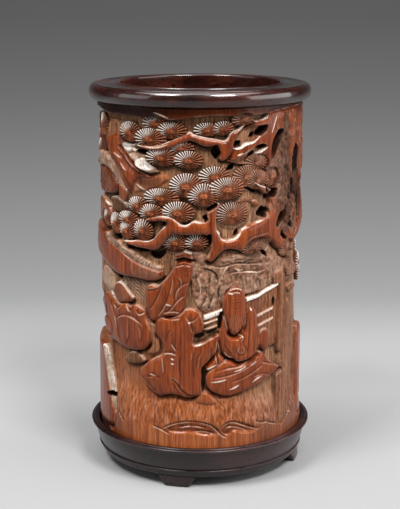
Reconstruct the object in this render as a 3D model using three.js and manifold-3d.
// A brush pot: a length of bamboo carved in high relief with a pine, rocks and seated elders,
// under a turned hardwood rim and in a turned hardwood stand on four low feet.
// Millimetres, +Z up, the origin on the ground under the middle of the pot, and -Y to the front.
import * as THREE from 'three';
import * as BufferGeometryUtils from 'three/addons/utils/BufferGeometryUtils.js';
import Module from 'manifold-3d';

const wasm = await Module();
wasm.setup();

// Driving dimensions
const totalHeight = 175;
const tubeTopRadius = 46;
const tubeFootRadius = 47.2;
const tubeBoreRadius = 38.3;
const tubeSeatZ = 12;
const glueGap = 0.3;

// Rim
const rimVisibleHeight = 7.7;
const rimOverhang = 3.8;
const rimWall = 2.1;
const rimSkirtDepth = 3.3;
const rimTongueHeight = 3;
const rimTongueOuterSetback = 2.5;
const rimDish = 0.5;

// Stand
const footHeight = 4.8;
const apronHeight = 3.4;
const waistHeight = 9.4;
const lipThickness = 1.8;
const lipOverhang = 3.9;
const waistOverhang = 2;
const apronInset = 0.8;
const standBoreRadius = 35;
const floorThickness = 4;
const floorLedge = 5;

// Feet
const footCount = 4;
const firstFootAngle = -13;
const footHalfAngle = 11;
const footDepth = 5.2;
const tenonHalfAngle = 4.5;
const tenonDepth = 2.2;
const tenonHeight = 2.2;

// Carving: drawn on a field of this size, with its foot at this height, and stretched to the tube's own field
const drawnLength = 2 * Math.PI * 46;
const drawnFoot = 20.6;
const drawnHeight = 143;
const plainBandTop = 4.3;
const plainBandFoot = 1.2;
const slopeStart = 24;
const slopeEnd = 40;
const slopeDepth = 2;
const groundStart = 36;
const groundEnd = 45;
const groundDepth = 3.3;
const pocketDepth = 5.6;
const shallowPocket = 4.8;
const edgeRound = 1.4;
const shoulderDrop = 0.8;
const shoulderWidth = 2.2;
const fieldColumns = 112;
const fieldRows = 44;

// Levels that follow from the sizes above
const rimSeatZ = totalHeight - rimVisibleHeight;
const rimOuterRadius = tubeTopRadius + rimOverhang;
const rimBoreRadius = tubeBoreRadius - glueGap - rimWall;
const lipRadius = tubeFootRadius + lipOverhang;
const waistRadius = tubeFootRadius + waistOverhang;
const apronRadius = tubeFootRadius - apronInset;
const waistFootZ = footHeight + apronHeight;
const lipFootZ = waistFootZ + waistHeight;
const lipTopZ = lipFootZ + lipThickness;
const floorRadius = standBoreRadius + floorLedge;
const floorFootZ = tubeSeatZ - floorThickness;
const fieldFootZ = lipTopZ + plainBandFoot;
const fieldTopZ = rimSeatZ - plainBandTop;
const ringSegments = 64;

const radians = THREE.MathUtils.degToRad;
const smooth = (low, high, x) => THREE.MathUtils.smoothstep(x, low, high);

// Materials
const bamboo = new THREE.MeshStandardMaterial({ color: 0x8c3f20, roughness: 0.42, metalness: 0 });
const rosewood = new THREE.MeshStandardMaterial({ color: 0x3a1410, roughness: 0.22, metalness: 0 });
const blackwood = new THREE.MeshStandardMaterial({ color: 0x1f1413, roughness: 0.34, metalness: 0 });

// A turned piece from its half section, which closes on itself and runs anticlockwise in r and z.
function turned(section) {
  const points = section.map(([r, z]) => new THREE.Vector2(r, z));
  points.push(points[0].clone());
  const geometry = new THREE.LatheGeometry(points, ringSegments);
  geometry.rotateX(Math.PI / 2);
  return geometry;
}

// Points along a quarter or other part of an ellipse, by angles in degrees.
function ellipseArc(centreR, centreZ, radiusR, radiusZ, fromAngle, toAngle, steps) {
  return Array.from({ length: steps + 1 }, (_, i) => {
    const angle = radians(fromAngle + (toAngle - fromAngle) * i / steps);
    return [centreR + radiusR * Math.cos(angle), centreZ + radiusZ * Math.sin(angle)];
  });
}

function solidOf(geometry) {
  const bare = geometry.clone();
  bare.deleteAttribute('normal');
  bare.deleteAttribute('uv');
  const merged = BufferGeometryUtils.mergeVertices(bare, 1e-4);
  return new wasm.Manifold(new wasm.Mesh({
    numProp: 3,
    vertProperties: new Float32Array(merged.attributes.position.array),
    triVerts: new Uint32Array(merged.index.array),
  }));
}

function geometryOf(solid) {
  const mesh = solid.getMesh();
  const geometry = new THREE.BufferGeometry();
  geometry.setAttribute('position', new THREE.BufferAttribute(mesh.vertProperties, 3));
  geometry.setIndex(new THREE.BufferAttribute(mesh.triVerts, 1));
  geometry.computeVertexNormals();
  return geometry;
}

// A closed body from a ring of points for each step along it, closed end to end or capped.
function lofted(rings, closedRound) {
  const count = rings[0].length;
  const positions = rings.flat(2);
  const index = [];
  const spans = closedRound ? rings.length : rings.length - 1;
  for (let i = 0; i < spans; i += 1) {
    const here = i * count;
    const there = ((i + 1) % rings.length) * count;
    for (let j = 0; j < count; j += 1) {
      const k = (j + 1) % count;
      index.push(here + j, there + j, there + k, here + j, there + k, here + k);
    }
  }
  if (!closedRound) {
    const last = (rings.length - 1) * count;
    for (let j = 1; j < count - 1; j += 1) {
      index.push(0, j, j + 1);
      index.push(last, last + j + 1, last + j);
    }
  }
  const geometry = new THREE.BufferGeometry();
  geometry.setAttribute('position', new THREE.Float32BufferAttribute(positions, 3));
  geometry.setIndex(index);
  geometry.computeVertexNormals();
  return geometry;
}

const onCylinder = (radius, angle, z) => [radius * Math.sin(angle), -radius * Math.cos(angle), z];

// The carving's forms in the order they are cut, the far ones first. Places are in millimetres: round the tube
// from the front, positive to the right, and up from the ground. A form's level is its depth under the skin.
// A pad of needles is given by its rim's level, and lies a little deeper on the whole.
const padHollow = 0.3;
const outlined = (level, points) => ({ level, points });
const limb = (level, width, points) => ({ level, width, points });
const pad = (left, right, low, high, level) => ({
  level: level + padHollow,
  middle: [(left + right) / 2, (low + high) / 2],
  half: [(right - left) / 2, (high - low) / 2],
});
const rocks = [
  outlined(1.2, [[-70, 163], [-62, 161], [-54, 158], [-51, 152], [-52, 146], [-70, 147]]),
  outlined(0.6, [[-49, 152], [-39, 156], [-37, 152], [-31, 145], [-28, 141], [-14, 138], [-22, 132.6],
    [-33, 130], [-40, 137], [-49, 146]]),
  outlined(1, [[-38, 151], [-30, 151.5], [-20, 142], [-17, 139.6], [-27, 141], [-33, 145]]),
  outlined(0.8, [[-67, 144.6], [-55, 146.4], [-45, 142.3], [-37, 132.8], [-42, 132], [-51, 139.2], [-68, 139]]),
  outlined(1.2, [[-68, 138], [-55, 139.5], [-43, 132.4], [-44, 129], [-60, 127], [-68, 128]]),
  outlined(1.3, [[-42, 133], [-36, 131], [-37.4, 125.6], [-42, 127]]),
  outlined(1, [[-66, 125], [-49, 123], [-48, 119], [-56, 113.6], [-68, 114]]),
  outlined(1.5, [[-50, 125.6], [-42, 127.2], [-34.2, 122], [-37, 120], [-47.7, 121]]),
  outlined(0.4, [[-82, 112], [-58, 111.4], [-46, 108.6], [-34, 104.6], [-17, 98.6], [-16, 95], [-25, 92.4],
    [-47, 93.6], [-64, 98], [-82, 98]]),
  outlined(1.2, [[-62, 88], [-53, 94.6], [-45.4, 89], [-46, 84.4], [-58, 83.8]]),
  outlined(1.4, [[-46.4, 84], [-42, 89.6], [-32, 83.4], [-42.6, 79.6]]),
  outlined(0.2, [[-84, 60], [-56, 57], [-50.4, 42], [-45.6, 24], [-84, 20]]),
  outlined(1.2, [[-57, 58.2], [-51.5, 57], [-49.6, 50], [-44.6, 32], [-43.6, 27], [-49.8, 37], [-53.2, 47]]),
  outlined(1.8, [[-3, 108], [10, 103], [33, 103], [47, 99], [45, 92], [20, 87], [8, 80], [-2, 83], [-4, 100]]),
  outlined(1.5, [[20.5, 83.5], [39.5, 89], [38, 62], [30, 60], [21, 66]]),
  outlined(0.6, [[20.6, 85.4], [31, 87.8], [38.8, 89.6], [39.2, 88.4], [27, 84.8], [20.8, 83.6]]),
  outlined(0.4, [[36, 94], [43, 94.4], [45, 91], [45, 60], [41, 57], [38, 60], [36.5, 89]]),
  outlined(0.6, [[45, 82], [49, 80], [53, 62], [52, 38], [49, 28], [38, 24], [38, 52]]),
  outlined(0.5, [[43, 98.5], [48, 101], [58, 92.5], [46, 90.5]]),
  outlined(0.4, [[42, 108], [47, 108.5], [51, 105.5], [53.5, 102], [49, 100.5], [43, 102]]),
  outlined(0.4, [[44, 86.5], [50, 88], [55, 86.5], [54, 83.5], [49, 82.5]]),
  outlined(0.3, [[58, 64], [72, 64], [80, 60], [80, 21], [56, 21]]),
];
const figures = [
  outlined(0.5, [[-58, 75], [-57, 81.6], [-50, 82.4], [-40, 79.4], [-28, 80.4], [-23, 72], [-24.4, 62.8],
    [-34, 59.8], [-50, 60.6], [-57, 68]]),
  outlined(1.6, [[-39.4, 53.8], [-32, 60], [-25.4, 55.8], [-35, 53.2]]),
  outlined(0.3, [[-10.6, 103], [-10.6, 106.5], [-3.4, 106.5], [-3, 100], [-6.4, 86], [-8.6, 79], [-22.6, 75],
    [-25.4, 84], [-25.4, 89.4], [-19, 90.6], [-13.6, 96.4]]),
  outlined(1.5, [[1.8, 79], [9.8, 81.4], [8.4, 71.4], [3.2, 71]]),
  outlined(0.8, [[1.4, 66], [8.8, 70], [11.6, 58.4], [3.4, 53]]),
  outlined(0.3, [[-20.4, 72], [-17.6, 77.2], [-10, 78.4], [-3.2, 81.6], [1.9, 74.6], [-2.4, 70], [-3.4, 65.4],
    [8.4, 70.8], [7, 62], [1.2, 55.6], [0.8, 43.6], [-6, 41.2], [-18.6, 41.2], [-29, 50], [-16.8, 60.4]]),
  outlined(0.7, [[27.8, 69.6], [33.4, 69], [33.8, 62], [28.6, 62.4]]),
  outlined(0.4, [[2.4, 50.6], [15, 59.4], [29, 60.6], [42, 51], [25, 44.6], [12, 41.6], [3, 46.6]]),
  outlined(0.3, [[10.2, 79.6], [8.6, 65], [16.8, 57], [25, 58.4], [27.2, 70], [23, 81.6]]),
  outlined(0.2, [[10, 83], [12.2, 90], [15.4, 91.4], [20.4, 87.4], [20.4, 77], [15.4, 69], [12, 74]]),
  outlined(0.9, [[-3, 38.6], [1.4, 44.6], [8.4, 38]]),
];
const barkAndBoughs = [
  outlined(0.1, [[-31, 150.6], [-13, 153.6], [-4.5, 157.7], [9, 153.9], [14.2, 157.6], [22, 161], [33, 166],
    [84, 166], [84, 116], [54, 106.6], [46, 102], [35, 110], [33, 118.6], [31.2, 133], [30.6, 141], [27.6, 147],
    [18.4, 143.4], [8.6, 145.2], [8.6, 151], [-4.6, 154], [-18, 148.9]]),
  outlined(0.7, [[40, 162.5], [46, 162], [46.4, 150], [48, 130], [51, 120], [49, 112], [44, 110.6], [37, 111],
    [34.4, 119], [39, 131], [32, 142.4], [35, 145.4], [43, 156.6]]),
  outlined(0.9, [[48, 138], [53.6, 139], [58, 134], [61, 124], [60, 115], [55.6, 119], [53, 126], [50, 131]]),
];
const lowerBoughs = [
  outlined(0.1, [[-26, 119.6], [-12, 121.2], [-8, 117.7], [-3, 120.1], [2.4, 119.6], [3.2, 124], [8, 127.8],
    [7.1, 116], [9.5, 111.2], [17, 112.7], [20.5, 116.7], [36, 119.6], [36, 112], [23.5, 110.6], [19.2, 106],
    [12.5, 107.8], [5, 102], [5.2, 111], [0, 114.2], [-12, 114.4], [-20, 106.4], [-38, 108], [-21.4, 110.8],
    [-15, 117.4]]),
];
// At the back: a rock face, rocks at the foot, and a second trunk with its limbs.
const backForms = [
  outlined(1.5, [[-144, 110], [-128, 118], [-112, 116], [-98, 124], [-84, 118], [-74, 104], [-70, 86],
    [-76, 66], [-92, 60], [-116, 62], [-144, 78]]),
  outlined(0.6, [[-120, 112], [-104, 118], [-92, 110], [-88, 96], [-98, 90], [-112, 96]]),
  outlined(0.5, [[-90, 92], [-80, 96], [-73, 88], [-76, 74], [-86, 72], [-92, 80]]),
  outlined(0.7, [[-134, 92], [-122, 94], [-112, 84], [-116, 72], [-130, 72], [-138, 80]]),
  outlined(0.8, [[64, 24], [64, 46], [72, 58], [84, 62], [94, 54], [104, 56], [112, 46], [112, 24]]),
  outlined(0.7, [[-144, 22], [-144, 40], [-132, 50], [-118, 46], [-108, 38], [-96, 42], [-88, 34], [-82, 22]]),
  outlined(0.6, [[124, 22], [122, 34], [132, 44], [142, 42], [150, 34], [150, 22]]),
  limb(0.2, 10, [[112, 26], [116, 40], [110, 56], [114, 72], [108, 90], [112, 108], [104, 124], [108, 142],
    [100, 156]]),
  limb(0.2, 5, [[112, 106], [124, 110], [134, 106], [146, 112], [158, 110]]),
  limb(0.2, 5, [[108, 124], [96, 128], [86, 124], [78, 128]]),
  limb(0.2, 4.5, [[106, 142], [120, 146], [132, 142], [144, 148], [156, 146], [168, 150]]),
  limb(0.2, 5, [[110, 92], [98, 94], [90, 88], [80, 92]]),
  limb(0.2, 3.5, [[-144, 150], [-132, 146], [-120, 150], [-106, 146], [-94, 150], [-84, 146]]),
];
const needlePads = [
  pad(-66, -54, 152, 162, 1), pad(-38, -29, 152.6, 160.6, 0.7), pad(-26.6, -13.6, 157.6, 163.8, 1),
  pad(-30.4, -15.2, 150.2, 158.2, 0.4), pad(-19, -6, 154.4, 161.4, 0.7), pad(-2.6, 8, 155.6, 161.2, 0.9),
  pad(5.6, 14.8, 156, 161.8, 0.8), pad(14, 24.6, 159.6, 165, 0.9), pad(-14, -2.6, 148, 153.4, 0.8),
  pad(-24.6, -10, 142.8, 150.2, 0.5), pad(-11, 1.2, 142.2, 149.4, 0.5), pad(-13, 1.2, 129.8, 139.8, 0.6),
  pad(12, 21.6, 134.6, 142.6, 1), pad(-0.4, 12.8, 134.8, 142.8, 0.8), pad(-5, 8.4, 126.4, 135.6, 0.4),
  pad(4, 19.6, 129, 138, 0.2), pad(30.8, 38.4, 132.8, 141, 0.8), pad(21.4, 32, 132.2, 140.4, 0.5),
  pad(20.6, 32.2, 140.2, 147.4, 0.7), pad(7.2, 22.4, 117.6, 127.2, 2), pad(-34.6, -24.6, 121.4, 128.6, 0.6),
  pad(-25.6, -9.6, 125.6, 133, 0.7), pad(-28.6, -16, 118.8, 126, 0.5), pad(-16.6, -2.8, 119, 127.8, 0.5),
  pad(-41.4, -30, 117.6, 123.6, 0.8), pad(-31.4, -21.6, 110, 119, 0.5), pad(-41, -31.4, 109.4, 116.8, 0.7),
  pad(-50, -40, 110.4, 119.6, 1), pad(-17.4, -5.4, 106.6, 113.6, 1.8), pad(-6.6, 3.6, 107, 113.6, 1.7),
  pad(18.8, 30.2, 103.6, 111.2, 1.9), pad(-60, -50, 112, 120, 1.2), pad(42, 52, 100, 108, 1.4),
];
// Groups of pads at the back: the middle of each, and how many pads it has in its two rows.
const padGroups = [
  [84, 128, 7], [76, 132, 4], [122, 112, 6], [136, 108, 6], [150, 112, 7], [124, 148, 6], [138, 144, 6],
  [152, 150, 6], [166, 151, 5], [94, 94, 5], [82, 90, 6], [100, 154, 6], [110, 160, 4], [92, 146, 5],
  [-130, 148, 6], [-116, 152, 6], [-104, 148, 6], [-90, 152, 7], [-78, 148, 6], [-140, 158, 4], [-124, 132, 5],
  [-84, 134, 5], [126, 128, 5],
];
const padSpacing = 5.4;
const padHalfLength = 5.9;
const padHalfHeight = 4.3;
const upperRow = 3.2;
const lowerRow = -2.6;
const groupLevel = 0.7;
for (const [s, z, count] of padGroups) {
  for (let k = 0; k < count; k += 1) {
    const middle = s + (k - (count - 1) / 2) * padSpacing;
    const height = z + (k % 2 === 0 ? upperRow : lowerRow);
    needlePads.push(pad(middle - padHalfLength, middle + padHalfLength, height - padHalfHeight,
      height + padHalfHeight, groupLevel));
  }
}
// Windows down to the ground between the boughs, and deeper pockets.
const openings = [
  outlined(groundDepth, [[14.2, 151], [16.8, 156.3], [22.8, 159.1], [31, 159.4], [23.7, 153.7], [16.1, 150.5]]),
  outlined(groundDepth, [[12.2, 145.9], [20.4, 148.3], [29.4, 151.5], [31, 150.7], [22, 144.8]]),
  outlined(pocketDepth, [[34.4, 143.4], [33.7, 151.3], [37.8, 157], [41.8, 156.8], [38.9, 152], [36, 149.2]]),
  outlined(shallowPocket, [[47.4, 140], [47.4, 144], [49, 148], [52, 149.4], [55.4, 148], [56, 143],
    [55, 139.4], [50, 138.4]]),
  limb(pocketDepth, 2.9, [[6.9, 151], [6.9, 147]]),
  limb(pocketDepth, 4.2, [[28.4, 121.6], [31.8, 122.8]]),
  limb(pocketDepth, 3.4, [[37.8, 115.8], [44.4, 122.4]]),
  limb(pocketDepth, 3, [[33, 128.8], [36.4, 131.2]]),
  limb(pocketDepth, 2.6, [[-23, 104.6], [-16.6, 105.6]]),
  limb(shallowPocket, 3.4, [[54.5, 76], [54.5, 62], [52.5, 50], [53, 42]]),
  limb(pocketDepth, 5, [[-66, 62], [-61, 70]]),
];
const carvedForms = [
  ...rocks, ...figures, ...barkAndBoughs, ...backForms, ...needlePads, ...lowerBoughs, ...openings,
];

function distanceToLine(line, s, z) {
  let least = Infinity;
  for (let i = 0; i < line.length - 1; i += 1) {
    const [s0, z0] = line[i];
    const [ds, dz] = [line[i + 1][0] - s0, line[i + 1][1] - z0];
    const along = THREE.MathUtils.clamp(((s - s0) * ds + (z - z0) * dz) / (ds * ds + dz * dz), 0, 1);
    least = Math.min(least, Math.hypot(s - s0 - along * ds, z - z0 - along * dz));
  }
  return least;
}

// How far round from a centre, the short way.
const roundTo = (s, centre) => {
  const turn = ((s - centre) % drawnLength + drawnLength) % drawnLength;
  return turn > drawnLength / 2 ? turn - drawnLength : turn;
};

// How far a place lies inside a form's edge, and below zero outside it.
function insideForm({ points, width, middle, half }, s, z) {
  if (middle) {
    const far = Math.hypot(roundTo(s, middle[0]) / half[0], (z - middle[1]) / half[1]);
    return (1 - far) * Math.min(...half);
  }
  const near = points[0][0] + roundTo(s, points[0][0]);
  if (width) return width / 2 - distanceToLine(points, near, z);
  const ring = [...points, points[0]];
  let inside = false;
  for (let i = 0; i < points.length; i += 1) {
    const [[s0, z0], [s1, z1]] = [ring[i], ring[i + 1]];
    if ((z0 > z) !== (z1 > z) && near < (s1 - s0) * (z - z0) / (z1 - z0) + s0) inside = !inside;
  }
  return (inside ? 1 : -1) * distanceToLine(ring, near, z);
}

// Depth of the carved surface below the tube's own skin at a place in the drawn field: a sunk ground between
// two plain bands, which slopes down from the lower one, and over it each form, rounded down to its edge.
function carvedDepth(s, z) {
  const slope = slopeDepth * smooth(slopeStart, slopeEnd, z);
  let depth = THREE.MathUtils.lerp(slope, groundDepth, smooth(groundStart, groundEnd, z));
  for (const form of carvedForms) {
    const inside = insideForm(form, s, z);
    if (inside < -edgeRound) continue;
    const bend = 1 - THREE.MathUtils.clamp(inside / shoulderWidth, 0, 1);
    const top = form.level + (form.level < groundDepth ? shoulderDrop * bend * bend : 0);
    depth = THREE.MathUtils.lerp(depth, top, smooth(-edgeRound / 2, edgeRound / 2, inside));
  }
  const topBand = smooth(drawnHeight + drawnFoot - edgeRound, drawnHeight + drawnFoot, z);
  return depth * (1 - topBand);
}

// The bamboo: bored, shouldered at the top for the rim, and carved between two plain bands.
function bambooTube() {
  const shoulderZ = rimSeatZ;
  const tongueRadius = tubeTopRadius - rimTongueOuterSetback;
  const skinRadius = (z) => THREE.MathUtils.mapLinear(z, tubeSeatZ, shoulderZ, tubeFootRadius, tubeTopRadius);
  const heights = Array.from({ length: fieldRows + 1 }, (_, j) =>
    THREE.MathUtils.lerp(fieldFootZ, fieldTopZ, j / fieldRows));
  const rings = Array.from({ length: fieldColumns }, (_, i) => {
    const angle = 2 * Math.PI * i / fieldColumns;
    const s = roundTo(drawnLength * i / fieldColumns, 0);
    const carved = heights.map((z, j) =>
      onCylinder(skinRadius(z) - carvedDepth(s, drawnFoot + drawnHeight * j / fieldRows), angle, z));
    return [
      onCylinder(tubeBoreRadius, angle, tubeSeatZ),
      onCylinder(tubeFootRadius, angle, tubeSeatZ),
      ...carved,
      onCylinder(tubeTopRadius, angle, shoulderZ),
      onCylinder(tongueRadius, angle, shoulderZ),
      onCylinder(tongueRadius, angle, shoulderZ + rimTongueHeight),
      onCylinder(tubeBoreRadius, angle, shoulderZ + rimTongueHeight),
    ];
  });
  return lofted(rings, true);
}

// The rim: a round nose outside, a scribed line, a dished top, a bead at the mouth, and a groove under.
function rimRing() {
  const skirtRadius = tubeBoreRadius - glueGap;
  const grooveRadius = tubeTopRadius - rimTongueOuterSetback + glueGap;
  const grooveZ = rimSeatZ + rimTongueHeight + glueGap;
  const topZ = totalHeight - rimDish;
  const noseHeight = topZ - rimSeatZ;
  const noseCentreZ = rimSeatZ + noseHeight * 0.52;
  const scribeRadius = rimOuterRadius - 2.2;
  const beadRadius = 0.75;
  const beadCentre = rimBoreRadius + beadRadius;
  return turned([
    [rimBoreRadius, rimSeatZ - rimSkirtDepth],
    [skirtRadius, rimSeatZ - rimSkirtDepth],
    [skirtRadius, grooveZ],
    [grooveRadius, grooveZ],
    [grooveRadius, rimSeatZ],
    [tubeTopRadius + 0.4, rimSeatZ],
    [tubeTopRadius + 0.5, rimSeatZ + 0.7],
    ...ellipseArc(scribeRadius, noseCentreZ, rimOuterRadius - scribeRadius, noseHeight * 0.42, -62, 84, 7),
    [scribeRadius, topZ - 0.35],
    [scribeRadius - 0.5, topZ - 0.3],
    [scribeRadius - 0.8, topZ],
    [(scribeRadius + beadCentre) / 2, topZ - 0.25],
    [beadCentre + beadRadius + 0.3, topZ - 0.2],
    ...ellipseArc(beadCentre, totalHeight - beadRadius, beadRadius, beadRadius, 0, 180, 4),
  ]);
}

// The stand's ring: a moulded lip round the tube, a drawn-in waist, and an apron over the feet.
function standRing() {
  const socketRadius = tubeFootRadius + glueGap;
  const lipHalf = lipThickness / 2;
  const beadWidth = 0.9;
  const section = [
    [standBoreRadius, footHeight],
    [apronRadius - 0.4, footHeight],
    [apronRadius, footHeight + 0.5],
    [apronRadius, waistFootZ - 0.7],
    [apronRadius + 0.7, waistFootZ - 0.6],
    [apronRadius + 0.9, waistFootZ],
    ...ellipseArc(apronRadius + 1.2, waistFootZ + 4.2, waistRadius - apronRadius - 1.2, 3.6, -78, 0, 4),
    [waistRadius - 0.25, (waistFootZ + lipFootZ) / 2 + 1.6],
    [waistRadius, lipFootZ],
    [lipRadius - lipHalf, lipFootZ],
    ...ellipseArc(lipRadius - beadWidth, lipFootZ + lipHalf, beadWidth, lipHalf, -70, 100, 6),
    [lipRadius - 2 * beadWidth, lipTopZ - 0.5],
    [lipRadius - 2.6 * beadWidth, lipTopZ - 0.15],
    [socketRadius + 0.5, lipTopZ - 0.1],
    [socketRadius, lipTopZ - 0.5],
    [socketRadius, tubeSeatZ],
    [floorRadius + glueGap, tubeSeatZ],
    [floorRadius + glueGap, floorFootZ],
    [standBoreRadius, floorFootZ],
  ];
  let ring = solidOf(turned(section));
  for (let i = 0; i < footCount; i += 1) {
    ring = ring.subtract(solidOf(tenonBlock(footAngle(i), glueGap)));
  }
  return geometryOf(ring);
}

// The floor board, let into the stand and held down by the tube's end.
function floorBoard() {
  return turned([
    [0, floorFootZ],
    [floorRadius, floorFootZ],
    [floorRadius, tubeSeatZ],
    [0, tubeSeatZ],
  ]);
}

const footAngle = (i) => firstFootAngle + 360 * i / footCount;
const footMidRadius = apronRadius - footDepth / 2;

// A foot's tenon, or with a clearance the mortise for it.
function tenonBlock(centre, clearance) {
  const steps = 4;
  const spread = tenonHalfAngle + THREE.MathUtils.radToDeg(clearance / footMidRadius);
  const inner = footMidRadius - tenonDepth / 2 - clearance;
  const outer = footMidRadius + tenonDepth / 2 + clearance;
  const foot = footHeight - glueGap;
  const top = footHeight + tenonHeight + clearance;
  const rings = Array.from({ length: steps + 1 }, (_, i) => {
    const angle = radians(centre - spread + 2 * spread * i / steps);
    return [[inner, foot], [outer, foot], [outer, top], [inner, top]].map(([r, z]) => onCylinder(r, angle, z));
  });
  return lofted(rings, false);
}

// A low bracket foot: a stretch of the apron's curve whose underside sweeps up to nothing at both ends.
function foot(centre) {
  const steps = 16;
  const outer = apronRadius - 0.1;
  const inner = outer - footDepth;
  const tipHeight = 0.6;
  const roundOff = 0.7;
  const rings = Array.from({ length: steps + 1 }, (_, i) => {
    const across = -1 + 2 * i / steps;
    const angle = radians(centre + footHalfAngle * across);
    const bottom = (footHeight - tipHeight) * smooth(0.55, 1, Math.abs(across));
    return [
      [inner, bottom], [outer - roundOff, bottom], [outer, Math.min(bottom + roundOff, footHeight - 0.1)],
      [outer, footHeight], [inner, footHeight],
    ].map(([r, z]) => onCylinder(r, angle, z));
  });
  const block = solidOf(lofted(rings, false));
  return geometryOf(block.add(solidOf(tenonBlock(centre, 0))));
}

function piece(name, geometry, material) {
  const mesh = new THREE.Mesh(geometry, material);
  mesh.name = name;
  return mesh;
}

const brushPot = new THREE.Group();
brushPot.add(piece('rim_ring', rimRing(), rosewood));
brushPot.add(piece('bamboo_tube', bambooTube(), bamboo));
brushPot.add(piece('stand_ring', standRing(), blackwood));
brushPot.add(piece('floor_board', floorBoard(), blackwood));
for (let i = 0; i < footCount; i += 1) {
  brushPot.add(piece(`foot_${i + 1}`, foot(footAngle(i)), blackwood));
}

export default brushPot;
